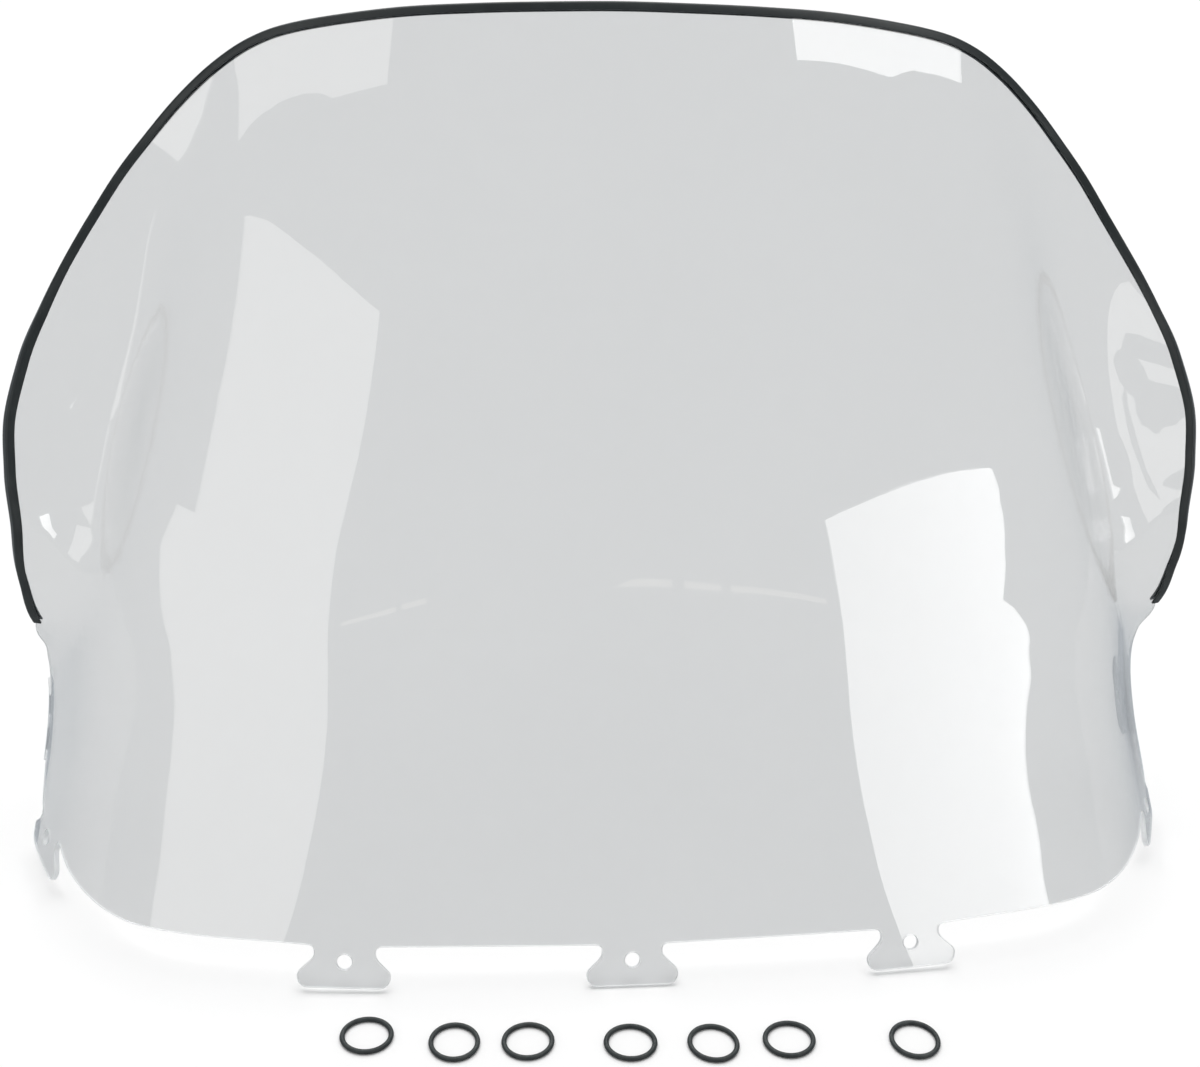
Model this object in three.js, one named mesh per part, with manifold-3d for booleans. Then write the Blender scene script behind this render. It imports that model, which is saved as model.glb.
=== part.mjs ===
// Clear wraparound windshield: one thermoformed sheet with seven dovetail hook tabs,
// a black channel trim around its rim, and seven loose retaining rings lying in front of it.
// Millimetres, +X to the right, +Y rearward, +Z up, standing on its lower tabs.
import * as THREE from 'three';
import { mergeVertices } from 'three/addons/utils/BufferGeometryUtils.js';
import Module from 'manifold-3d';

const RAKE = THREE.MathUtils.degToRad(63.5); // lean of the front face, up from the floor
const SHEET = 3; // sheet thickness

// Sections across the sheet, seen along its front face, one for each height up that face.
// From the middle outwards the sheet has a slight crown, bends back into a wall, and above
// the tabs turns out again at a root into a flared wing. Angles in degrees, runs along the sheet.
const SECTIONS = [
  { rise: -20, crown: 5, bend: [200, 368], wall: 58, root: [412, 481], wing: 64 },
  { rise: 40, crown: 7, bend: [197, 363], wall: 60.5, root: [398, 455], wing: 72 },
  { rise: 80, crown: 8, bend: [196.5, 356], wall: 62.3, root: [387, 437], wing: 78 },
  { rise: 110, crown: 8.7, bend: [197.5, 350], wall: 63.5, root: [374, 422], wing: 79 },
  { rise: 135, crown: 9.2, bend: [200, 345.5], wall: 63.8, root: [362, 411], wing: 69 },
  { rise: 160, crown: 9.6, bend: [204.5, 340], wall: 63.2, root: [344, 398], wing: 43 },
  { rise: 185, crown: 10, bend: [209.5, 333], wall: 61.5, root: [298, 365], wing: 5 },
  { rise: 210, crown: 10.5, bend: [212, 322.5], wall: 59.3, root: [281, 352], wing: -18 },
  { rise: 235, crown: 11, bend: [211, 310.5], wall: 57.2, root: [275, 342], wing: -33 },
  { rise: 300, crown: 12.6, bend: [199.5, 289], wall: 54.5, root: [271, 330], wing: -37 },
  { rise: 350, crown: 12.2, bend: [184.5, 277], wall: 50, root: [252, 316], wing: -26 },
  { rise: 410, crown: 11, bend: [169.5, 264.5], wall: 41.3, root: [230, 302], wing: -3 },
  { rise: 470, crown: 9.4, bend: [153, 251], wall: 31.8, root: [208, 277], wing: 3 },
  { rise: 530, crown: 8, bend: [135, 237], wall: 22, root: [191, 256], wing: 7 },
];
const HEM = { root: [366, 392], turn: 79 }; // below the wings, the rear edge runs straight back

// Right half of the trimmed rim, from the trim's lower end up to the middle of the top.
const RIM = [
  [349, 187], [346.3, 208], [347.8, 237], [355.3, 268], [357.6, 298], [346.2, 328.5], [329.4, 357],
  [313.3, 383.3], [297.3, 407.4], [280, 430.1], [261, 450.1], [241.6, 468.4], [220.6, 484.3],
  [197.5, 496.6], [171.5, 503.6], [121.5, 509.5], [78, 511.7], [38, 512.8], [0, 513.4],
];
// Right half of the lower edge, between the outer front tab and the lower side tab.
const SKIRT = [[190, 16], [215, 18], [237, 20], [260, 22.7], [276, 25.8], [297, 33.3], [322, 46.5]];
// Right half of the edge between the upper side tab and the trim's lower end.
const SHOULDER = [[375.5, 153], [371.5, 163.5], [363.5, 171.5], [358, 178.5]];

const TAB = { length: 22.5, root: 19.5, holeDepth: 8.5, holeRadius: 4 };
// Half of a tab's profile below its root: the corner each curve turns around, and where it ends,
// as distances aside of the tab's middle and below its root.
const TAB_PROFILE = [
  { corner: [16.3, 0], end: [16.3, 3.9] }, // into the neck
  { corner: [16.3, 6.5], end: [19.5, 9.2] }, // out of the neck
  { corner: [21.35, 10.9], end: [23.2, 12.6] }, // along the dovetail
  { corner: [25.6, 15], end: [24.6, 18] }, // around the lobe
  { corner: [23.4, TAB.length], end: [18.5, TAB.length] }, // onto the tab's end
];
// Tabs on the right half: middle of each tab's root, and its turn from pointing down the sheet.
const CENTRE_TAB = { run: 0, rise: 9.7, turn: 0 };
const FRONT_TAB = { run: 153.5, rise: 13.2, turn: 3 };
const LOWER_SIDE_TAB = { run: 354.5, rise: 67.5, turn: 26 };
const UPPER_SIDE_TAB = { run: 379, rise: 122, turn: 94 };

const TRIM = { leg: 3.4, back: 1.2, wall: 1, gap: 0.8, bevel: 0.8 };
const TRIM_STEPS = 136;

const RING = { radius: 12.35, cord: 1.3, oval: 0.025 };
// Middle of each ring on the floor, and the turn of its slightly oval shape.
const RINGS = [
  { x: -142, y: -38.5, turn: 15 }, { x: -97, y: -46, turn: 80 }, { x: -59, y: -47.5, turn: 35 },
  { x: -6, y: -51.5, turn: 5 }, { x: 37, y: -54.5, turn: 120 }, { x: 77, y: -54, turn: 20 },
  { x: 143, y: -58, turn: 95 },
];

const wasm = await Module();
wasm.setup();

// ---- the sheet's surface -------------------------------------------------------------

// Value at a rise, on a smooth curve through one value per section.
function throughSections(rise, value) {
  const last = SECTIONS.length - 1;
  let i = 0;
  while (i < last - 1 && rise > SECTIONS[i + 1].rise) i += 1;
  const slope = (k) => {
    const a = SECTIONS[Math.max(k - 1, 0)];
    const b = SECTIONS[Math.min(k + 1, last)];
    return (value(b) - value(a)) / (b.rise - a.rise);
  };
  const [low, high] = [SECTIONS[i], SECTIONS[i + 1]];
  const span = high.rise - low.rise;
  const t = THREE.MathUtils.clamp((rise - low.rise) / span, 0, 1);
  const fromLow = (2 * t ** 3 - 3 * t ** 2 + 1) * value(low) + (t ** 3 - 2 * t ** 2 + t) * span * slope(i);
  const fromHigh = (3 * t ** 2 - 2 * t ** 3) * value(high) + (t ** 3 - t ** 2) * span * slope(i + 1);
  return fromLow + fromHigh;
}

const sectionCache = new Map();
function sectionAt(rise) {
  if (!sectionCache.has(rise)) {
    sectionCache.set(rise, {
      crown: throughSections(rise, (s) => s.crown),
      bend: [throughSections(rise, (s) => s.bend[0]), throughSections(rise, (s) => s.bend[1])],
      wall: throughSections(rise, (s) => s.wall),
      root: [throughSections(rise, (s) => s.root[0]), throughSections(rise, (s) => s.root[1])],
      wing: throughSections(rise, (s) => s.wing),
    });
  }
  return sectionCache.get(rise);
}

// Angle between the sheet and the flat of its front, at a run from the middle.
function turnAt(run, { crown, bend, wall, root, wing }) {
  const crowned = crown * Math.min(run / bend[0], 1) ** 2;
  const bent = (wall - crown) * THREE.MathUtils.smoothstep(run, bend[0], bend[1]);
  const flared = (wing - wall) * THREE.MathUtils.smoothstep(run, root[0], root[1]);
  const open = crowned + bent + flared;
  return THREE.MathUtils.degToRad(open + (HEM.turn - open) * THREE.MathUtils.smoothstep(run, ...HEM.root));
}

const SECTION_STEPS = 120;
function backFace(run, rise) {
  const section = sectionAt(rise);
  const step = Math.abs(run) / SECTION_STEPS;
  let across = 0;
  let depth = 0;
  for (let i = 0; i < SECTION_STEPS; i += 1) {
    const turn = turnAt((i + 0.5) * step, section);
    across += Math.cos(turn) * step;
    depth += Math.sin(turn) * step;
  }
  return new THREE.Vector3(
    Math.sign(run) * across,
    rise * Math.cos(RAKE) + depth * Math.sin(RAKE),
    rise * Math.sin(RAKE) - depth * Math.cos(RAKE),
  );
}

const NUDGE = 0.5;
function sheetPoint(run, rise, lift) {
  const alongRun = backFace(run + NUDGE, rise).sub(backFace(run - NUDGE, rise));
  const alongRise = backFace(run, rise + NUDGE).sub(backFace(run, rise - NUDGE));
  const outwards = alongRun.cross(alongRise).normalize();
  return backFace(run, rise).addScaledVector(outwards, lift);
}

// ---- the flat outline ------------------------------------------------------------------

function mirrored(points) {
  return points.map(([run, rise]) => [-run, rise]).reverse();
}

function toVectors(points) {
  return points.map(([run, rise]) => new THREE.Vector2(run, rise));
}

const rim = new THREE.SplineCurve(toVectors([...RIM, ...mirrored(RIM.slice(0, -1))]));
const rimPoints = rim.getSpacedPoints(TRIM_STEPS);

// Place on the flat sheet of a point beside and below a tab's root.
function onTab(tab, aside, below) {
  const turn = THREE.MathUtils.degToRad(tab.turn);
  return [
    tab.run + aside * Math.cos(turn) + below * Math.sin(turn),
    tab.rise + aside * Math.sin(turn) - below * Math.cos(turn),
  ];
}

function addTab(outline, tab) {
  const at = (side, [aside, below]) => onTab(tab, side * aside, below);
  outline.lineTo(...at(-1, [TAB.root, 0]));
  for (const { corner, end } of TAB_PROFILE) outline.quadraticCurveTo(...at(-1, corner), ...at(-1, end));
  outline.lineTo(...at(1, TAB_PROFILE.at(-1).end));
  for (let i = TAB_PROFILE.length - 1; i >= 0; i -= 1) {
    const end = i > 0 ? TAB_PROFILE[i - 1].end : [TAB.root, 0];
    outline.quadraticCurveTo(...at(1, TAB_PROFILE[i].corner), ...at(1, end));
  }
}

function otherSide(tab) {
  return { run: -tab.run, rise: tab.rise, turn: -tab.turn };
}

const TABS = [
  otherSide(UPPER_SIDE_TAB), otherSide(LOWER_SIDE_TAB), otherSide(FRONT_TAB), CENTRE_TAB,
  FRONT_TAB, LOWER_SIDE_TAB, UPPER_SIDE_TAB,
];

function sheetOutline() {
  const outline = new THREE.Shape();
  outline.moveTo(rimPoints.at(-1).x, rimPoints.at(-1).y);
  outline.splineThru(toVectors(mirrored(SHOULDER)));
  addTab(outline, TABS[0]);
  addTab(outline, TABS[1]);
  outline.splineThru(toVectors(mirrored(SKIRT)));
  addTab(outline, TABS[2]);
  addTab(outline, TABS[3]);
  addTab(outline, TABS[4]);
  outline.splineThru(toVectors(SKIRT));
  addTab(outline, TABS[5]);
  addTab(outline, TABS[6]);
  outline.splineThru(toVectors(SHOULDER));
  for (const point of rimPoints.slice(0, -1)) outline.lineTo(point.x, point.y);
  for (const tab of TABS) {
    const hole = new THREE.Path();
    hole.absarc(...onTab(tab, 0, TAB.holeDepth), TAB.holeRadius, 0, Math.PI * 2);
    outline.holes.push(hole);
  }
  return outline;
}

// ---- the screen --------------------------------------------------------------------------

function solidOf(geometry) {
  geometry.deleteAttribute('normal');
  geometry.deleteAttribute('uv');
  const merged = mergeVertices(geometry, 1e-5);
  return new wasm.Manifold(new wasm.Mesh({
    numProp: 3,
    vertProperties: new Float32Array(merged.attributes.position.array),
    triVerts: new Uint32Array(merged.index.array),
  }));
}

function geometryOf(solid) {
  const mesh = solid.getMesh();
  const geometry = new THREE.BufferGeometry();
  geometry.setAttribute('position', new THREE.BufferAttribute(new Float32Array(mesh.vertProperties), 3));
  geometry.setIndex(new THREE.BufferAttribute(new Uint32Array(mesh.triVerts), 1));
  return geometry;
}

// Grid lines over the flat sheet: wide steps on its front, narrow ones around the bends.
function gridLines(start, stretches) {
  const lines = [start];
  for (const { step, to } of stretches) {
    while (lines.at(-1) < to) lines.push(lines.at(-1) + step);
  }
  return lines;
}
const HALF_COLUMNS = gridLines(0, [{ step: 45, to: 180 }, { step: 10, to: 430 }]);
const COLUMNS = [...HALF_COLUMNS.slice(1).map((run) => -run).reverse(), ...HALF_COLUMNS];
const ROWS = gridLines(-25, [{ step: 28, to: 140 }, { step: 12, to: 350 }, { step: 24, to: 520 }]);
// The flat slab is bowed a little while it is cut, so that its grid stays in the cut piece.
const BOW = 0.0004;
const bowAt = (run, rise) => BOW * (run * run + rise * rise);

function gridSlab() {
  const [columns, rows] = [COLUMNS.length - 1, ROWS.length - 1];
  const slab = new THREE.BoxGeometry(1, 1, 1, columns, rows, 1);
  const position = slab.attributes.position;
  for (let i = 0; i < position.count; i += 1) {
    const run = COLUMNS[Math.round((position.getX(i) + 0.5) * columns)];
    const rise = ROWS[Math.round((position.getY(i) + 0.5) * rows)];
    position.setXYZ(i, run, rise, (position.getZ(i) + 0.5) * SHEET + bowAt(run, rise));
  }
  return slab;
}

function screenGeometry() {
  const cutterDepth = 600;
  const cutter = new THREE.ExtrudeGeometry(sheetOutline(), {
    depth: cutterDepth, bevelEnabled: false, curveSegments: 4,
  });
  cutter.translate(0, 0, -cutterDepth / 2);
  const geometry = geometryOf(solidOf(gridSlab()).intersect(solidOf(cutter)));
  const position = geometry.attributes.position;
  for (let i = 0; i < position.count; i += 1) {
    const [run, rise] = [position.getX(i), position.getY(i)];
    const lift = position.getZ(i) - bowAt(run, rise) > SHEET / 2 ? SHEET : 0;
    position.setXYZ(i, ...sheetPoint(run, rise, lift).toArray());
  }
  return geometry;
}

// ---- the channel trim ----------------------------------------------------------------------

// The channel's section: across the rim, outwards from the sheet's edge, and through the sheet.
function trimSection() {
  const { leg, back, wall, gap, bevel } = TRIM;
  const outside = gap + back;
  const front = SHEET + gap + wall;
  return [
    [-leg, -gap - wall], [outside - bevel, -gap - wall], [outside, bevel - gap - wall],
    [outside, front - bevel], [outside - bevel, front], [-leg, front], [-leg, SHEET + gap],
    [gap, SHEET + gap], [gap, -gap], [-leg, -gap],
  ];
}

function trimGeometry() {
  const section = trimSection();
  const positions = [];
  const triangles = [];
  rimPoints.forEach((point, i) => {
    const along = rim.getTangentAt(i / TRIM_STEPS);
    for (const [out, lift] of section) {
      positions.push(...sheetPoint(point.x + along.y * out, point.y - along.x * out, lift).toArray());
    }
  });
  const size = section.length;
  for (let i = 0; i < TRIM_STEPS; i += 1) {
    for (let j = 0; j < size; j += 1) {
      const [a, b] = [i * size + j, i * size + ((j + 1) % size)];
      triangles.push(a, b + size, b, a, a + size, b + size);
    }
  }
  const lastStation = TRIM_STEPS * size;
  for (const [a, b, c] of THREE.ShapeUtils.triangulateShape(toVectors(section), [])) {
    triangles.push(a, b, c, lastStation + c, lastStation + b, lastStation + a);
  }
  const geometry = new THREE.BufferGeometry();
  geometry.setAttribute('position', new THREE.Float32BufferAttribute(positions, 3));
  geometry.setIndex(triangles);
  return geometry;
}

// ---- the assembly ----------------------------------------------------------------------------

const clear = new THREE.MeshStandardMaterial({
  color: 0xd4d8d7, roughness: 0.06, metalness: 0, transparent: true, opacity: 0.3,
});
const blackVinyl = new THREE.MeshStandardMaterial({ color: 0x1d2222, roughness: 0.4, metalness: 0 });
const blackRubber = new THREE.MeshStandardMaterial({ color: 0x2a2e2e, roughness: 0.6, metalness: 0 });

function named(name, geometry, material) {
  const mesh = new THREE.Mesh(geometry, material);
  mesh.name = name;
  return mesh;
}

function ringGeometry() {
  const ring = new THREE.TorusGeometry(RING.radius, RING.cord, 8, 20);
  return ring.scale(1 + RING.oval, 1 - RING.oval, 1);
}

const windshield = new THREE.Group();
const screen = named('screen', screenGeometry(), clear);
const floor = new THREE.Box3().setFromObject(screen, true).min.z;
windshield.add(screen);
windshield.add(named('edge_trim', trimGeometry(), blackVinyl));
RINGS.forEach(({ x, y, turn }, i) => {
  const ring = named(`o_ring_${i + 1}`, ringGeometry(), blackRubber.clone());
  ring.position.set(x, y, floor + RING.cord);
  ring.rotation.z = THREE.MathUtils.degToRad(turn);
  windshield.add(ring);
});

// The origin is on the floor, below the middle of everything.
const bounds = new THREE.Box3().setFromObject(windshield, true);
const middle = bounds.getCenter(new THREE.Vector3());
windshield.position.set(-middle.x, -middle.y, -floor);

export default windshield;
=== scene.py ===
import math

import bmesh
import bpy
import numpy as np
from mathutils import Matrix, Vector
from mathutils.geometry import delaunay_2d_cdt


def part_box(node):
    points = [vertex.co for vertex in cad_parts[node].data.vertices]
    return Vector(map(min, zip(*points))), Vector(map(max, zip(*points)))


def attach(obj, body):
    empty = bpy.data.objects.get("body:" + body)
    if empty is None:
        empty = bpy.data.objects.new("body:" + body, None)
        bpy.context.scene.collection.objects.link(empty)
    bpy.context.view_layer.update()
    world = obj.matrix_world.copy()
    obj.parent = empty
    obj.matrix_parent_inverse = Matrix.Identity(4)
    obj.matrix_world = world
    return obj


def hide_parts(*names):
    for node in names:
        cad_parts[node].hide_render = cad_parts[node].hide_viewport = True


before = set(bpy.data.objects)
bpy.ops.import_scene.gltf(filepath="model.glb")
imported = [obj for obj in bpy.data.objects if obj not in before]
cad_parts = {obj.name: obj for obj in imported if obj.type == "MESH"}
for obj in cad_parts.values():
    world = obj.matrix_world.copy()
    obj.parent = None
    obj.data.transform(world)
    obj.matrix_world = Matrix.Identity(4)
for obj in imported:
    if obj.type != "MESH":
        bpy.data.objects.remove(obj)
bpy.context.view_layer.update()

# ---- dimensions, in millimetres, the same as the CAD solids are made from --------------

RAKE = math.radians(63.5)
SHEET = 3.0
# rise, crown, bend start and end, wall, root start and end, wing: crown, wall and wing are the
# sheet's turns in degrees, and the rest are millimetres along the flat sheet
SECTIONS = np.array([
    [-20, 5, 200, 368, 58, 412, 481, 64],
    [40, 7, 197, 363, 60.5, 398, 455, 72],
    [80, 8, 196.5, 356, 62.3, 387, 437, 78],
    [110, 8.7, 197.5, 350, 63.5, 374, 422, 79],
    [135, 9.2, 200, 345.5, 63.8, 362, 411, 69],
    [160, 9.6, 204.5, 340, 63.2, 344, 398, 43],
    [185, 10, 209.5, 333, 61.5, 298, 365, 5],
    [210, 10.5, 212, 322.5, 59.3, 281, 352, -18],
    [235, 11, 211, 310.5, 57.2, 275, 342, -33],
    [300, 12.6, 199.5, 289, 54.5, 271, 330, -37],
    [350, 12.2, 184.5, 277, 50, 252, 316, -26],
    [410, 11, 169.5, 264.5, 41.3, 230, 302, -3],
    [470, 9.4, 153, 251, 31.8, 208, 277, 3],
    [530, 8, 135, 237, 22, 191, 256, 7],
], float)
HEM = (366, 392, 79)  # below the wings, the rear edge runs straight back
RIM = [
    (349, 187), (346.3, 208), (347.8, 237), (355.3, 268), (357.6, 298), (346.2, 328.5), (329.4, 357),
    (313.3, 383.3), (297.3, 407.4), (280, 430.1), (261, 450.1), (241.6, 468.4), (220.6, 484.3),
    (197.5, 496.6), (171.5, 503.6), (121.5, 509.5), (78, 511.7), (38, 512.8), (0, 513.4),
]
SKIRT = [(190, 16), (215, 18), (237, 20), (260, 22.7), (276, 25.8), (297, 33.3), (322, 46.5)]
SHOULDER = [(375.5, 153), (371.5, 163.5), (363.5, 171.5), (358, 178.5)]
TAB = {"length": 22.5, "root": 19.5, "hole_depth": 8.5, "hole_radius": 4}
# half of a tab's profile: the corner each curve turns around, and where it ends
TAB_PROFILE = [
    ((16.3, 0), (16.3, 3.9)),
    ((16.3, 6.5), (19.5, 9.2)),
    ((21.35, 10.9), (23.2, 12.6)),
    ((25.6, 15), (24.6, 18)),
    ((23.4, 22.5), (18.5, 22.5)),
]
CENTRE_TAB = (0, 9.7, 0)  # run, rise, turn in degrees
FRONT_TAB = (153.5, 13.2, 3)
LOWER_SIDE_TAB = (354.5, 67.5, 26)
UPPER_SIDE_TAB = (379, 122, 94)
RING = {"radius": 12.35, "cord": 1.3, "oval": 0.025}
RING_TURNS = [15, 80, 35, 5, 120, 20, 95]

# ---- the sheet's surface ---------------------------------------------------------------


def through_sections(rise):
    """The section's seven values at each rise, on smooth curves through the rows of SECTIONS."""
    rises = SECTIONS[:, 0]
    last = len(rises) - 1
    slopes = np.empty_like(SECTIONS)
    for k in range(last + 1):
        a, b = SECTIONS[max(k - 1, 0)], SECTIONS[min(k + 1, last)]
        slopes[k] = (b - a) / (b[0] - a[0])
    i = np.clip(np.searchsorted(rises, rise, side="left") - 1, 0, last - 1)
    span = rises[i + 1] - rises[i]
    t = np.clip((rise - rises[i]) / span, 0, 1)[:, None]
    span = span[:, None]
    low = (2 * t**3 - 3 * t**2 + 1) * SECTIONS[i] + (t**3 - 2 * t**2 + t) * span * slopes[i]
    high = (3 * t**2 - 2 * t**3) * SECTIONS[i + 1] + (t**3 - t**2) * span * slopes[i + 1]
    return (low + high)[:, 1:].T


def smoothstep(x, low, high):
    t = np.clip((x - low) / (high - low), 0, 1)
    return t * t * (3 - 2 * t)


SECTION_STEPS = 120


def back_face(run, rise):
    """Points on the sheet's back face. The origin is run 0, rise 0, close to the centre tab's hole."""
    crown, bend0, bend1, wall, root0, root1, wing = through_sections(rise)
    step = np.abs(run) / SECTION_STEPS
    across = np.zeros_like(run)
    depth = np.zeros_like(run)
    for i in range(SECTION_STEPS):
        s = (i + 0.5) * step
        turn = crown * np.minimum(s / bend0, 1) ** 2
        turn = turn + (wall - crown) * smoothstep(s, bend0, bend1)
        turn = turn + (wing - wall) * smoothstep(s, root0, root1)
        turn = np.radians(turn + (HEM[2] - turn) * smoothstep(s, HEM[0], HEM[1]))
        across += np.cos(turn) * step
        depth += np.sin(turn) * step
    return np.stack([
        np.sign(run) * across,
        rise * math.cos(RAKE) + depth * math.sin(RAKE),
        rise * math.sin(RAKE) - depth * math.cos(RAKE),
    ], axis=1)


NUDGE = 0.5


def front_normal(run, rise):
    along_run = back_face(run + NUDGE, rise) - back_face(run - NUDGE, rise)
    along_rise = back_face(run, rise + NUDGE) - back_face(run, rise - NUDGE)
    n = np.cross(along_run, along_rise)
    return n / np.linalg.norm(n, axis=1)[:, None]


def sheet_points(flat, lift):
    flat = np.asarray(flat, float)
    run, rise = flat[:, 0].copy(), flat[:, 1].copy()
    return back_face(run, rise) + front_normal(run, rise) * np.asarray(lift, float).reshape(-1, 1)


# ---- the flat outline ------------------------------------------------------------------


def spline(points, per_span=24):
    """Uniform Catmull-Rom curve through the points."""
    p = np.asarray(points, float)
    out = []
    for i in range(len(p) - 1):
        p0, p1, p2, p3 = p[max(i - 1, 0)], p[i], p[i + 1], p[min(i + 2, len(p) - 1)]
        v0, v1 = (p2 - p0) / 2, (p3 - p1) / 2
        for t in np.arange(per_span) / per_span:
            cubic, square = 2 * p1 - 2 * p2 + v0 + v1, -3 * p1 + 3 * p2 - 2 * v0 - v1
            out.append(cubic * t**3 + square * t**2 + v0 * t + p1)
    out.append(p[-1])
    return np.array(out)


def evenly(points, step):
    """The same line, with points about step apart."""
    p = np.asarray(points, float)
    along = np.concatenate([[0], np.cumsum(np.linalg.norm(np.diff(p, axis=0), axis=1))])
    n = max(2, int(round(along[-1] / step)) + 1)
    at = np.linspace(0, along[-1], n)
    return np.stack([np.interp(at, along, p[:, 0]), np.interp(at, along, p[:, 1])], axis=1)


def quadratic(a, b, c, n=8):
    t = (np.arange(n) + 1)[:, None] / n
    a, b, c = (np.asarray(v, float) for v in (a, b, c))
    return (1 - t) ** 2 * a + 2 * t * (1 - t) * b + t**2 * c


def mirrored(points):
    return [(-run, rise) for run, rise in reversed(points)]


def on_tab(tab, aside, below):
    turn = math.radians(tab[2])
    return (
        tab[0] + aside * math.cos(turn) + below * math.sin(turn),
        tab[1] + aside * math.sin(turn) - below * math.cos(turn),
    )


def tab_line(tab):
    """A tab's edge, from its root on one side round to its root on the other."""
    root = TAB["root"]
    line = [np.array([on_tab(tab, -root, 0)])]

    def curve(side, corner, end):
        via, to = (on_tab(tab, side * aside, below) for aside, below in (corner, end))
        line.append(quadratic(line[-1][-1], via, to))

    for corner, end in TAB_PROFILE:
        curve(-1, corner, end)
    line.append(np.array([on_tab(tab, *TAB_PROFILE[-1][1])]))
    ends = [(root, 0)] + [end for _, end in TAB_PROFILE[:-1]]
    for (corner, _), end in reversed(list(zip(TAB_PROFILE, ends))):
        curve(1, corner, end)
    return np.concatenate(line)


def other_side(tab):
    return (-tab[0], tab[1], -tab[2])


TABS = [
    other_side(UPPER_SIDE_TAB), other_side(LOWER_SIDE_TAB), other_side(FRONT_TAB), CENTRE_TAB,
    FRONT_TAB, LOWER_SIDE_TAB, UPPER_SIDE_TAB,
]
RIM_STEP = 2.5
EDGE_STEP = 1.5
rim_line = evenly(spline(RIM + mirrored(RIM[:-1])), RIM_STEP)


def sheet_outline():
    """The flat sheet's edge, right round: the rim runs from the right wing over to the left."""
    parts = [rim_line[-1:]]

    def through(points):
        parts.append(spline([tuple(parts[-1][-1])] + points, 16)[1:])

    through(mirrored(SHOULDER))
    parts += [tab_line(tab) for tab in TABS[:2]]
    through(mirrored(SKIRT))
    parts += [tab_line(tab) for tab in TABS[2:5]]
    through(SKIRT)
    parts += [tab_line(tab) for tab in TABS[5:]]
    through(SHOULDER)
    parts.append(rim_line[:1])
    lower = evenly(np.concatenate(parts), EDGE_STEP)
    return np.concatenate([lower, rim_line[1:-1]])


def circle(centre, radius, n=40):
    a = -np.arange(n) * 2 * math.pi / n
    return np.stack([centre[0] + radius * np.cos(a), centre[1] + radius * np.sin(a)], axis=1)


def inset(loop, by):
    """A closed line moved sideways by a small step: inwards where the loop runs anticlockwise."""
    tangent = np.roll(loop, -1, axis=0) - np.roll(loop, 1, axis=0)
    tangent /= np.linalg.norm(tangent, axis=1)[:, None]
    left = np.stack([-tangent[:, 1], tangent[:, 0]], axis=1)
    return loop + left * by


# ---- making meshes ---------------------------------------------------------------------

MM = 0.001


def mesh_object(name, points, faces, shift):
    mesh = bpy.data.meshes.new(name)
    vertices = [tuple(p) for p in (np.asarray(points) + shift) * MM]
    mesh.from_pydata(vertices, [], [tuple(map(int, f)) for f in faces])
    mesh.validate()
    mesh.update()
    ob = bpy.data.objects.new(name, mesh)
    bpy.context.scene.collection.objects.link(ob)
    return ob


def face_outwards(ob):
    bm = bmesh.new()
    bm.from_mesh(ob.data)
    bmesh.ops.recalc_face_normals(bm, faces=bm.faces)
    bm.to_mesh(ob.data)
    bm.free()


def smooth(ob, sharp_from):
    for p in ob.data.polygons:
        p.use_smooth = True
    ob.data.set_sharp_from_angle(angle=math.radians(sharp_from))


# ---- the clear screen ------------------------------------------------------------------

CHAMFER = 0.35
GRID = 7.0  # between the points inside the sheet
GRID_COLUMNS = (-63, 64)
GRID_ROWS = (-4, 76)
GRID_TO_EDGE = 2.4
BESIDE_EDGE = 2.2  # where a line of points follows the outline
BESIDE_TO_EDGE = 1.2
GRID_TO_BESIDE = 2.6
SAME_POINT = 1e-6
SMALLEST_TRIANGLE = 1e-6
SHEET_CREASE = 28  # degrees
AT_ONCE = 200  # points of a line measured together


def distance_to(points, line):
    """Distance from each point to the nearest point of a line given by close points."""
    best = np.full(len(points), 1e9)
    for chunk in np.array_split(line, max(1, len(line) // AT_ONCE)):
        d = np.linalg.norm(points[:, None, :] - chunk[None, :, :], axis=2).min(axis=1)
        best = np.minimum(best, d)
    return best


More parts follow.
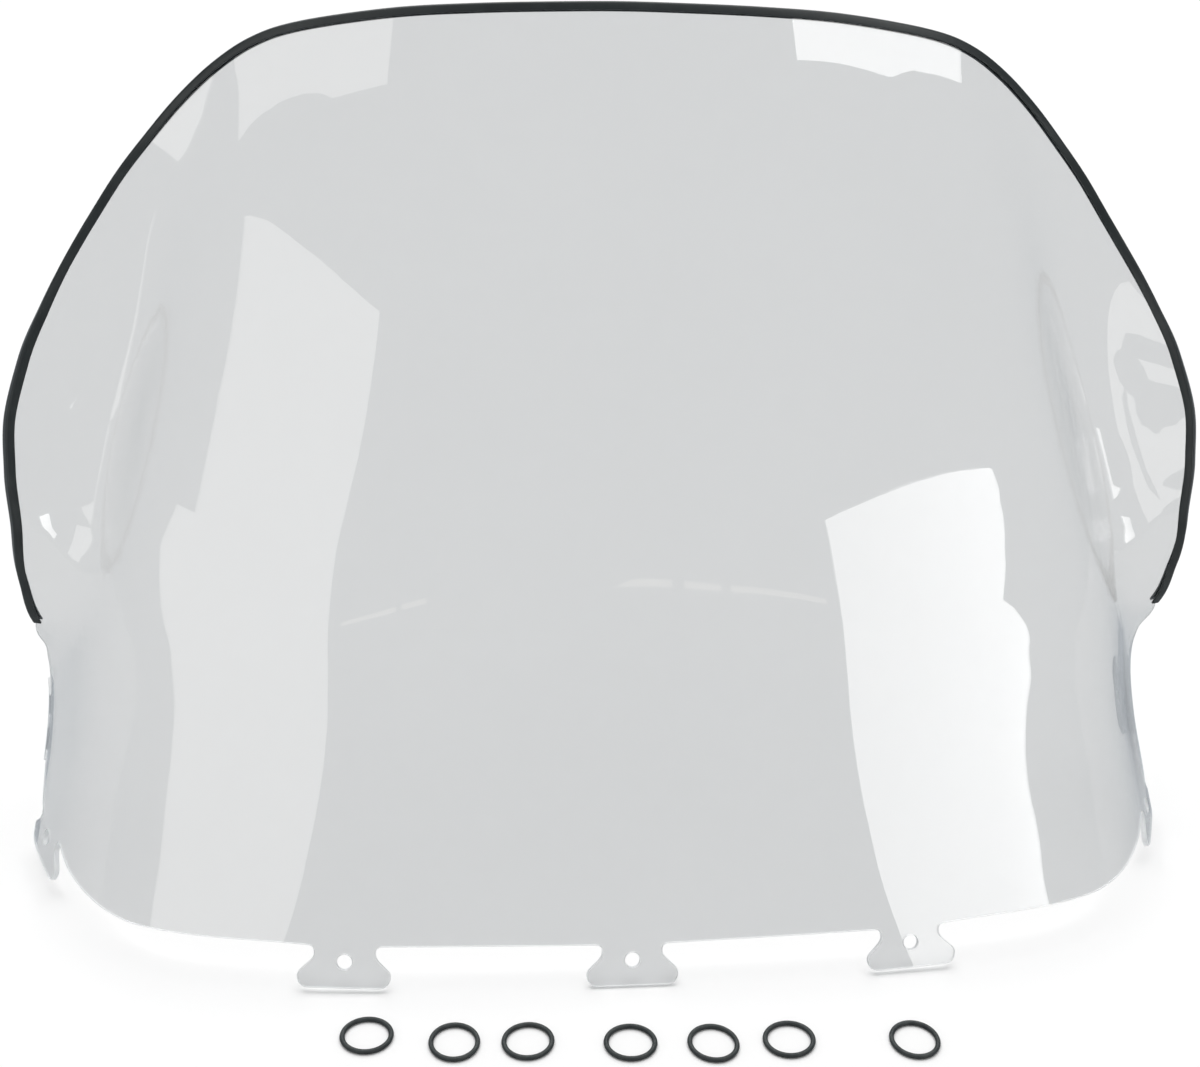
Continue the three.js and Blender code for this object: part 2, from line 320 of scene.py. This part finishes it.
def build_screen():
    outer = sheet_outline()
    area = 0.5 * np.sum(outer[:, 0] * np.roll(outer[:, 1], -1) - np.roll(outer[:, 0], -1) * outer[:, 1])
    if area < 0:
        outer = outer[::-1]
    holes = [circle(on_tab(tab, 0, TAB["hole_depth"]), TAB["hole_radius"]) for tab in TABS]
    loops = [outer] + holes
    faces_loops = [inset(loop, CHAMFER) for loop in loops]
    edge_points = np.concatenate(faces_loops)
    # a grid inside the sheet, kept clear of the edges
    xs = np.arange(*GRID_COLUMNS) * GRID
    ys = np.arange(*GRID_ROWS) * GRID
    grid = np.array([(x, y) for y in ys for x in xs], float)
    grid = grid[distance_to(grid, edge_points) > GRID_TO_EDGE]
    # a line of points beside the outline keeps the triangles there well shaped
    beside = inset(faces_loops[0], BESIDE_EDGE)[::2]
    beside = beside[distance_to(beside, edge_points) > BESIDE_TO_EDGE]
    grid = grid[distance_to(grid, beside) > GRID_TO_BESIDE]
    coords = [Vector(p) for loop in faces_loops for p in loop]
    edges = []
    start = 0
    for loop in faces_loops:
        n = len(loop)
        edges += [(start + i, start + (i + 1) % n) for i in range(n)]
        start += n
    coords += [Vector(p) for p in beside] + [Vector(p) for p in grid]
    out = delaunay_2d_cdt(coords, edges, [], 0, SAME_POINT)
    flat = np.array([(v.x, v.y) for v in out[0]])
    assert len(flat) == len(coords), "the flat mesh gained or lost points"
    tris = np.array(out[2])
    # keep the triangles inside the outline and outside the holes
    centre = flat[tris].mean(axis=1)
    inside = in_loop(centre, faces_loops[0])
    for hole in faces_loops[1:]:
        inside &= ~in_loop(centre, hole)
    tris = tris[inside]
    along, aside = flat[tris[:, 1]] - flat[tris[:, 0]], flat[tris[:, 2]] - flat[tris[:, 0]]
    cross = along[:, 0] * aside[:, 1] - along[:, 1] * aside[:, 0]
    solid = np.abs(cross) > SMALLEST_TRIANGLE
    tris, cross = tris[solid], cross[solid]
    tris[cross < 0] = tris[cross < 0][:, ::-1]
    used = np.unique(tris)
    remap = -np.ones(len(flat), int)
    remap[used] = np.arange(len(used))
    flat_used = flat[used]
    n = len(used)
    normal = front_normal(flat_used[:, 0].copy(), flat_used[:, 1].copy())
    base = back_face(flat_used[:, 0].copy(), flat_used[:, 1].copy())
    points = [base + normal * SHEET, base]
    faces = [remap[tris], remap[tris][:, ::-1] + n]
    edge_flat = np.concatenate(loops)
    m = len(edge_flat)
    points.append(sheet_points(edge_flat, np.full(m, SHEET - CHAMFER)))
    points.append(sheet_points(edge_flat, np.full(m, CHAMFER)))
    quads = []
    start = 0
    for loop in loops:
        k = len(loop)
        for i in range(k):
            a, b = start + i, start + (i + 1) % k
            fa, fb = remap[a], remap[b]
            ea, eb = 2 * n + a, 2 * n + b
            la, lb = 2 * n + m + a, 2 * n + m + b
            quads.append((fb, fa, ea, eb))
            quads.append((eb, ea, la, lb))
            quads.append((lb, la, fa + n, fb + n))
        start += k
    all_points = np.concatenate(points)
    all_faces = [tuple(f) for block in faces for f in block] + quads
    return all_points, all_faces, normal, n


def in_loop(points, loop):
    inside = np.zeros(len(points), bool)
    x, y = points[:, 0], points[:, 1]
    a = loop
    b = np.roll(loop, -1, axis=0)
    for (x0, y0), (x1, y1) in zip(a, b):
        if y0 == y1:
            continue
        crosses = (y0 > y) != (y1 > y)
        inside ^= crosses & (x < (x1 - x0) * (y - y0) / (y1 - y0) + x0)
    return inside


screen_points, screen_faces, face_normals, face_count = build_screen()
low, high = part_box("screen")
mine_low, mine_high = screen_points.min(axis=0), screen_points.max(axis=0)
SHIFT = np.array([
    0.0,
    ((low.y + high.y) / MM - (mine_low[1] + mine_high[1])) / 2,
    low.z / MM - mine_low[2],
])
screen = mesh_object("clear_screen", screen_points, screen_faces, SHIFT)
smooth(screen, SHEET_CREASE)
# the broad faces take their shading from the true surface, so reflections run without ripples
corner = np.zeros(len(screen.data.loops) * 3)
screen.data.corner_normals.foreach_get("vector", corner)
corner = corner.reshape(-1, 3)
vertex_of = np.zeros(len(screen.data.loops), int)
screen.data.loops.foreach_get("vertex_index", vertex_of)
tri_loops = sum(p.loop_total for p in screen.data.polygons if p.loop_total == 3)
front = vertex_of[:tri_loops] < face_count
corner[:tri_loops][front] = face_normals[vertex_of[:tri_loops][front]]
corner[:tri_loops][~front] = -face_normals[vertex_of[:tri_loops][~front] - face_count]
screen.data.normals_split_custom_set([tuple(v) for v in corner])
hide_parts("screen")
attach(screen, "windshield")

# ---- the rim trim ----------------------------------------------------------------------

TRIM = {"leg": 3.1, "back": 1.2, "wall": 0.9, "gap": 0.5}
TRIM_CORNER = 1.5
TRIM_LIP = 0.35  # how far the lips lean in towards the sheet
TRIM_FILLET = 0.6
TRIM_CREASE = 50  # degrees


def arc_points(cx, cy, radius, start, end, n):
    a = np.radians(np.linspace(start, end, n))
    return [(cx + radius * math.cos(t), cy + radius * math.sin(t)) for t in a]


def trim_section():
    """The channel's section: across the rim outwards, and through the sheet from back to front."""
    leg, back, wall, gap = (TRIM[k] for k in ("leg", "back", "wall", "gap"))
    low, high, outer = -gap - wall, SHEET + gap + wall, gap + back
    tip = wall / 2
    corner, lip, fillet = TRIM_CORNER, TRIM_LIP, TRIM_FILLET
    line = []
    line += arc_points(-leg + tip, low + tip, tip, 180, 270, 5)
    line += arc_points(outer - corner, low + corner, corner, 270, 360, 8)
    line += arc_points(outer - corner, high - corner, corner, 0, 90, 8)
    line += arc_points(-leg + tip, high - tip, tip, 90, 180, 5)
    inner_side = [(0.1, lip), (1.3, lip * 0.6), (2.4, 0)]  # in from the leg's tip, and towards the sheet
    line += [(-leg + x, SHEET + gap - y) for x, y in inner_side]
    line += arc_points(gap - fillet, SHEET + gap - fillet, fillet, 90, 0, 4)
    line += arc_points(gap - fillet, -gap + fillet, fillet, 0, -90, 4)
    line += [(-leg + x, -gap + y) for x, y in reversed(inner_side)]
    return np.array(line)


def build_trim():
    section = trim_section()
    tangent = np.gradient(rim_line, axis=0)
    tangent /= np.linalg.norm(tangent, axis=1)[:, None]
    outward = np.stack([tangent[:, 1], -tangent[:, 0]], axis=1)
    if outward[len(outward) // 2, 1] < 0:
        outward = -outward
    k, size = len(rim_line), len(section)
    flat = (rim_line[:, None, :] + outward[:, None, :] * section[None, :, :1]).reshape(-1, 2)
    lift = np.tile(section[:, 1], k)
    points = sheet_points(flat, lift)
    faces = []
    for i in range(k - 1):
        for j in range(size):
            a, b = i * size + j, i * size + (j + 1) % size
            faces.append((a, b, b + size, a + size))
    faces.append(tuple(range(size)))
    faces.append(tuple((k - 1) * size + j for j in range(size)))
    return points, faces


trim_points, trim_faces = build_trim()
trim = mesh_object("rim_trim", trim_points, trim_faces, SHIFT)
face_outwards(trim)
smooth(trim, TRIM_CREASE)
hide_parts("edge_trim")
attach(trim, "windshield")

# ---- the loose rings -------------------------------------------------------------------

RING_FLASH = 0.045
RING_SIDES = (120, 28)  # around the ring, and around its cord
RING_CREASE = 60  # degrees


def build_ring(name, centre, turn):
    """A moulded ring: a round cord with the fine flash line of its mould inside and outside."""
    around, section = RING_SIDES
    points, faces = [], []
    for i in range(around):
        a = 2 * math.pi * i / around
        for j in range(section):
            b = 2 * math.pi * j / section
            r = RING["cord"]
            if j in (0, section // 2):
                r += RING_FLASH
            out = RING["radius"] + r * math.cos(b)
            longer, shorter = 1 + RING["oval"], 1 - RING["oval"]
            points.append((longer * out * math.cos(a), shorter * out * math.sin(a), r * math.sin(b)))
    for i in range(around):
        for j in range(section):
            n, m = (i + 1) % around, (j + 1) % section
            faces.append((i * section + j, n * section + j, n * section + m, i * section + m))
    t = math.radians(turn)
    spin = np.array([[math.cos(t), -math.sin(t), 0], [math.sin(t), math.cos(t), 0], [0, 0, 1]])
    ob = mesh_object(name, np.array(points) @ spin.T, faces, np.array(centre) / MM)
    smooth(ob, RING_CREASE)
    return ob


rings = []
for i, turn in enumerate(RING_TURNS, start=1):
    low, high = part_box(f"o_ring_{i}")
    ring = build_ring(f"rubber_ring_{i}", (low + high) / 2, turn)
    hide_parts(f"o_ring_{i}")
    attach(ring, f"ring_{i}")
    rings.append(ring)

# ---- materials -------------------------------------------------------------------------

POLYCARBONATE_IOR = 1.585


def new_material(name):
    mat = bpy.data.materials.new(name)
    mat.use_nodes = True
    nt = mat.node_tree
    nt.nodes.clear()
    out = nt.nodes.new("ShaderNodeOutputMaterial")
    bsdf = nt.nodes.new("ShaderNodeBsdfPrincipled")
    nt.links.new(bsdf.outputs[0], out.inputs["Surface"])
    return mat, nt, bsdf, out


def noise(nt, scale, detail=3.0, rough=0.5):
    coord = nt.nodes.new("ShaderNodeTexCoord")
    tex = nt.nodes.new("ShaderNodeTexNoise")
    tex.inputs["Scale"].default_value = scale
    tex.inputs["Detail"].default_value = detail
    tex.inputs["Roughness"].default_value = rough
    nt.links.new(coord.outputs["Object"], tex.inputs["Vector"])
    return tex


def ramp(nt, source, stops):
    r = nt.nodes.new("ShaderNodeValToRGB")
    elements = r.color_ramp.elements
    while len(elements) < len(stops):
        elements.new(0.5)
    for e, (pos, colour) in zip(elements, stops):
        e.position = pos
        e.color = (*colour, 1)
    nt.links.new(source, r.inputs["Fac"])
    return r


def to_range(nt, source, low, high):
    m = nt.nodes.new("ShaderNodeMapRange")
    m.inputs["To Min"].default_value = low
    m.inputs["To Max"].default_value = high
    nt.links.new(source, m.inputs["Value"])
    return m


def bump(nt, height, distance, strength=1.0):
    b = nt.nodes.new("ShaderNodeBump")
    b.inputs["Distance"].default_value = distance
    b.inputs["Strength"].default_value = strength
    nt.links.new(height, b.inputs["Height"])
    return b


def clear_sheet_material():
    """Clear polycarbonate: a faint neutral tint, and the slight waviness of a thermoformed sheet."""
    mat, nt, bsdf, out = new_material("clear_polycarbonate")
    clouds = noise(nt, 9, 3)
    tint = ramp(nt, clouds.outputs["Fac"], [(0.3, (0.676, 0.684, 0.687)), (0.7, (0.682, 0.690, 0.693))])
    nt.links.new(tint.outputs[0], bsdf.inputs["Base Color"])
    waves = bump(nt, noise(nt, 7, 1.5, 0.4).outputs["Fac"], 0.00025, 1.0)
    nt.links.new(waves.outputs[0], bsdf.inputs["Normal"])
    bsdf.inputs["Transmission Weight"].default_value = 1.0
    bsdf.inputs["IOR"].default_value = POLYCARBONATE_IOR
    bsdf.inputs["Roughness"].default_value = 0.0
    # the light that reaches the floor goes straight through, with only a faint loss
    shadow = nt.nodes.new("ShaderNodeBsdfTransparent")
    shadow.inputs["Color"].default_value = (0.985, 0.985, 0.985, 1)
    path = nt.nodes.new("ShaderNodeLightPath")
    lighting = nt.nodes.new("ShaderNodeMath")
    lighting.operation = "MAXIMUM"
    nt.links.new(path.outputs["Is Shadow Ray"], lighting.inputs[0])
    nt.links.new(path.outputs["Is Diffuse Ray"], lighting.inputs[1])
    mix = nt.nodes.new("ShaderNodeMixShader")
    nt.links.new(lighting.outputs[0], mix.inputs[0])
    nt.links.new(bsdf.outputs[0], mix.inputs[1])
    nt.links.new(shadow.outputs[0], mix.inputs[2])
    nt.links.new(mix.outputs[0], out.inputs["Surface"])
    return mat


def cut_edge_material():
    """The sheet's sawn and scraped edge: pale and frosted."""
    mat, nt, bsdf, _ = new_material("frosted_edge")
    marks = noise(nt, 900, 3)
    colour = ramp(nt, marks.outputs["Fac"], [(0.3, (0.80, 0.815, 0.82)), (0.7, (0.88, 0.89, 0.89))])
    nt.links.new(colour.outputs[0], bsdf.inputs["Base Color"])
    bsdf.inputs["Roughness"].default_value = 0.5
    bsdf.inputs["Transmission Weight"].default_value = 0.35
    bsdf.inputs["IOR"].default_value = POLYCARBONATE_IOR
    return mat


def trim_material():
    """Black extruded vinyl: satin, with fine drawing marks and a little dust."""
    mat, nt, bsdf, _ = new_material("black_vinyl")
    patches = noise(nt, 60, 4)
    colour = ramp(nt, patches.outputs["Fac"], [(0.3, (0.010, 0.013, 0.013)), (0.75, (0.022, 0.027, 0.026))])
    nt.links.new(colour.outputs[0], bsdf.inputs["Base Color"])
    rough = to_range(nt, noise(nt, 400, 3).outputs["Fac"], 0.28, 0.46)
    nt.links.new(rough.outputs[0], bsdf.inputs["Roughness"])
    grain = bump(nt, noise(nt, 2500, 2).outputs["Fac"], 0.00004, 0.5)
    nt.links.new(grain.outputs[0], bsdf.inputs["Normal"])
    bsdf.inputs["IOR"].default_value = 1.5
    return mat


def ring_material():
    """Black moulded rubber: satin, with faint bloom."""
    mat, nt, bsdf, _ = new_material("black_rubber")
    bloom = noise(nt, 220, 4)
    colour = ramp(nt, bloom.outputs["Fac"], [(0.3, (0.014, 0.018, 0.018)), (0.8, (0.035, 0.042, 0.04))])
    nt.links.new(colour.outputs[0], bsdf.inputs["Base Color"])
    rough = to_range(nt, noise(nt, 700, 3).outputs["Fac"], 0.4, 0.6)
    nt.links.new(rough.outputs[0], bsdf.inputs["Roughness"])
    grain = bump(nt, noise(nt, 3000, 2).outputs["Fac"], 0.00005, 0.5)
    nt.links.new(grain.outputs[0], bsdf.inputs["Normal"])
    return mat


screen.data.materials.append(clear_sheet_material())
screen.data.materials.append(cut_edge_material())
for polygon in screen.data.polygons:
    polygon.material_index = 1 if polygon.loop_total == 4 else 0
trim.data.materials.append(trim_material())
rubber = ring_material()
for ring in rings:
    ring.data.materials.append(rubber)

# ---- floor and light -------------------------------------------------------------------

FLOOR_REACH = 200000  # millimetres
FLOOR_TOP = -0.05  # just under the lowest points
# the colours of the floor and the room, seen directly and seen in the sheet's reflections
FLOOR = (0.93, 0.93, 0.93)
REFLECTED_FLOOR = (0.52, 0.53, 0.54)
ROOM = (0.45, 0.45, 0.45)
REFLECTED_ROOM = (0.36, 0.40, 0.44)


def plane(name, size, z):
    corners = [(-size, -size, z), (size, -size, z), (size, size, z), (-size, size, z)]
    return mesh_object(name, corners, [(0, 1, 2, 3)], np.zeros(3))


def in_reflection(nt):
    """1 once the light path has taken a glossy bounce, as in the sheet's reflections, and 0 before."""
    path = nt.nodes.new("ShaderNodeLightPath")
    reflected = nt.nodes.new("ShaderNodeMath")
    reflected.operation = "GREATER_THAN"
    nt.links.new(path.outputs["Glossy Depth"], reflected.inputs[0])
    reflected.inputs[1].default_value = 0.5
    return reflected.outputs[0]


def in_reflections(nt, plain, reflected):
    """A colour that is another colour where it is seen in a reflection."""
    mix = nt.nodes.new("ShaderNodeMix")
    mix.data_type = "RGBA"
    # an RGBA mix takes its two colours at inputs 6 and 7, and gives one at output 2
    mix.inputs[6].default_value = (*plain, 1)
    mix.inputs[7].default_value = (*reflected, 1)
    nt.links.new(in_reflection(nt), mix.inputs[0])
    return mix.outputs[2]


floor = plane("floor", FLOOR_REACH, FLOOR_TOP)
mat, nt, bsdf, _ = new_material("pale_floor")
floor_colour = in_reflections(nt, FLOOR, REFLECTED_FLOOR)
nt.links.new(floor_colour, bsdf.inputs["Base Color"])
bsdf.inputs["Roughness"].default_value = 1.0
bsdf.inputs["Specular IOR Level"].default_value = 0.0
floor.data.materials.append(mat)

world = bpy.data.worlds.new("studio")
bpy.context.scene.world = world
world.use_nodes = True
nt = world.node_tree
nt.links.new(in_reflections(nt, ROOM, REFLECTED_ROOM), nt.nodes["Background"].inputs["Color"])
nt.nodes["Background"].inputs["Strength"].default_value = 1.0

sun = bpy.data.lights.new("overhead", "SUN")
sun.energy = 2.2
sun.angle = math.radians(70)
sun_object = bpy.data.objects.new("overhead", sun)
sun_object.rotation_euler = (math.radians(-22), 0, 0)
bpy.context.scene.collection.objects.link(sun_object)

FOCUS = Vector((0, 0, 0.2))
FAR = 60.0  # metres to the panels of light


def towards(azimuth, elevation):
    """A far point at that azimuth (0 is the camera's side, positive to the right) and elevation."""
    a, e = math.radians(azimuth), math.radians(elevation)
    return FOCUS + FAR * Vector((math.sin(a) * math.cos(e), -math.cos(a) * math.cos(e), math.sin(e)))


def only_in_reflections(ob, colour):
    """Makes a piece of the stage glow in reflections and be unseen elsewhere. Returns its nodes."""
    mat = bpy.data.materials.new(ob.name)
    mat.use_nodes = True
    nt = mat.node_tree
    nt.nodes.clear()
    out = nt.nodes.new("ShaderNodeOutputMaterial")
    glow = nt.nodes.new("ShaderNodeEmission")
    glow.inputs["Color"].default_value = (*colour, 1)
    mix = nt.nodes.new("ShaderNodeMixShader")
    nt.links.new(in_reflection(nt), mix.inputs[0])
    nt.links.new(nt.nodes.new("ShaderNodeBsdfTransparent").outputs[0], mix.inputs[1])
    nt.links.new(glow.outputs[0], mix.inputs[2])
    nt.links.new(mix.outputs[0], out.inputs["Surface"])
    ob.data.materials.append(mat)
    ob.visible_camera = False
    ob.visible_diffuse = False
    ob.visible_shadow = False
    return nt, glow


def softbox(name, corners, left, right=None, colour=(1, 1, 1)):
    """A glowing panel that shows only in reflections, from one strength at its left to another."""
    mesh = bpy.data.meshes.new(name)
    mesh.from_pydata([tuple(towards(*c)) for c in corners], [], [tuple(range(len(corners)))])
    ob = bpy.data.objects.new(name, mesh)
    bpy.context.scene.collection.objects.link(ob)
    nt, glow = only_in_reflections(ob, colour)
    across = nt.nodes.new("ShaderNodeSeparateXYZ")
    coord = nt.nodes.new("ShaderNodeTexCoord")
    nt.links.new(coord.outputs["Generated"], across.inputs[0])
    strength = to_range(nt, across.outputs["X"], left, left if right is None else right)
    nt.links.new(strength.outputs[0], glow.inputs["Strength"])


# each panel's corners, by azimuth and elevation in degrees
softbox("softbox_left", [
    (-15.5, 5), (-15.5, 32.4), (-30, 32), (-48, 30), (-58, 27.2),
    (-64, 22.3), (-66, 19), (-57, 14), (-50, 10.7), (-47, 5),
], 1.6)
softbox("softbox_right", [
    (22, 5), (20.5, 25), (26, 25.5), (46.3, 25.7), (40.5, 18.4), (49, 11), (54, 5),
], 2.9, 4.8)
softbox("overhead_left", [(-16.5, 38.7), (-26, 37.3), (-57, 28.8), (-60, 45), (-16.5, 62)], 1.5)
softbox("overhead_right", [(24, 38), (40, 34.9), (60, 29), (60, 62), (24, 62)], 3.6)

# faint warm strips of light in an arc, broken by gaps: where each starts and ends
STRIPS = [(-14, -8.3), (-7.7, -2.4), (-1.8, 3.4), (5.2, 8.8), (9.4, 11.4), (12, 19.5)]
STRIP_HALF = 0.11
ARC_TOP = (2.5, 23.9)
ARC_DROOP = 0.0062
WARM = (1, 0.98, 0.93)


def strip_height(azimuth):
    return ARC_TOP[1] - ARC_DROOP * (azimuth - ARC_TOP[0]) ** 2


for i, (start, end) in enumerate(STRIPS, start=1):
    azimuths = np.linspace(start, end, 6)
    below = [(a, strip_height(a) - STRIP_HALF) for a in azimuths]
    above = [(a, strip_height(a) + STRIP_HALF) for a in azimuths[::-1]]
    softbox(f"strip_{i}", below + above, 1.05, colour=WARM)


def card(name, corners):
    """A card as plain as the room, which keeps a softbox out of part of the sheet's reflections."""
    ob = mesh_object(name, corners, [tuple(range(len(corners)))], SHIFT)
    only_in_reflections(ob, REFLECTED_ROOM)


# each card's corners, in millimetres from the sheet's origin
card("card_left_wing", [(-129, -311, 290), (140, -42, 294), (179, 30, 356), (13, 28, 676), (-227, -212, 676)])
for side, name in ((-1, "left"), (1, "right")):
    card(f"card_{name}_root", [
        (side * 280, 128, 410), (side * 345, 178, 410), (side * 345, 122, 250), (side * 283, 73, 250)])

# ---- the camera ------------------------------------------------------------------------

camera = bpy.data.cameras.new("camera")
camera_object = bpy.data.objects.new("camera", camera)
bpy.context.scene.collection.objects.link(camera_object)
bpy.context.scene.camera = camera_object
camera.sensor_width = 36
camera.lens = 57
camera.clip_start = 0.01
camera.clip_end = 100
VIEW_PITCH = math.radians(27.461542)
VIEW_TURN = math.radians(6.435492)
VIEW_ROLL = math.radians(2.187458)
CAMERA_FROM_TAB = np.array([-116.11, -796.63, 677.51])  # from the sheet's origin
flat_reach = math.cos(VIEW_PITCH)
forward = Vector((math.sin(VIEW_TURN) * flat_reach, math.cos(VIEW_TURN) * flat_reach, -math.sin(VIEW_PITCH)))
level = forward.cross(Vector((0, 0, 1))).normalized()
upright = level.cross(forward)
right = math.cos(VIEW_ROLL) * level + math.sin(VIEW_ROLL) * upright
up = -math.sin(VIEW_ROLL) * level + math.cos(VIEW_ROLL) * upright
place = (CAMERA_FROM_TAB + SHIFT) * MM
camera_object.matrix_world = Matrix((
    (right.x, up.x, -forward.x, place[0]),
    (right.y, up.y, -forward.y, place[1]),
    (right.z, up.z, -forward.z, place[2]),
    (0, 0, 0, 1),
))

bpy.context.scene.view_settings.view_transform = "Standard"
bpy.context.view_layer.update()
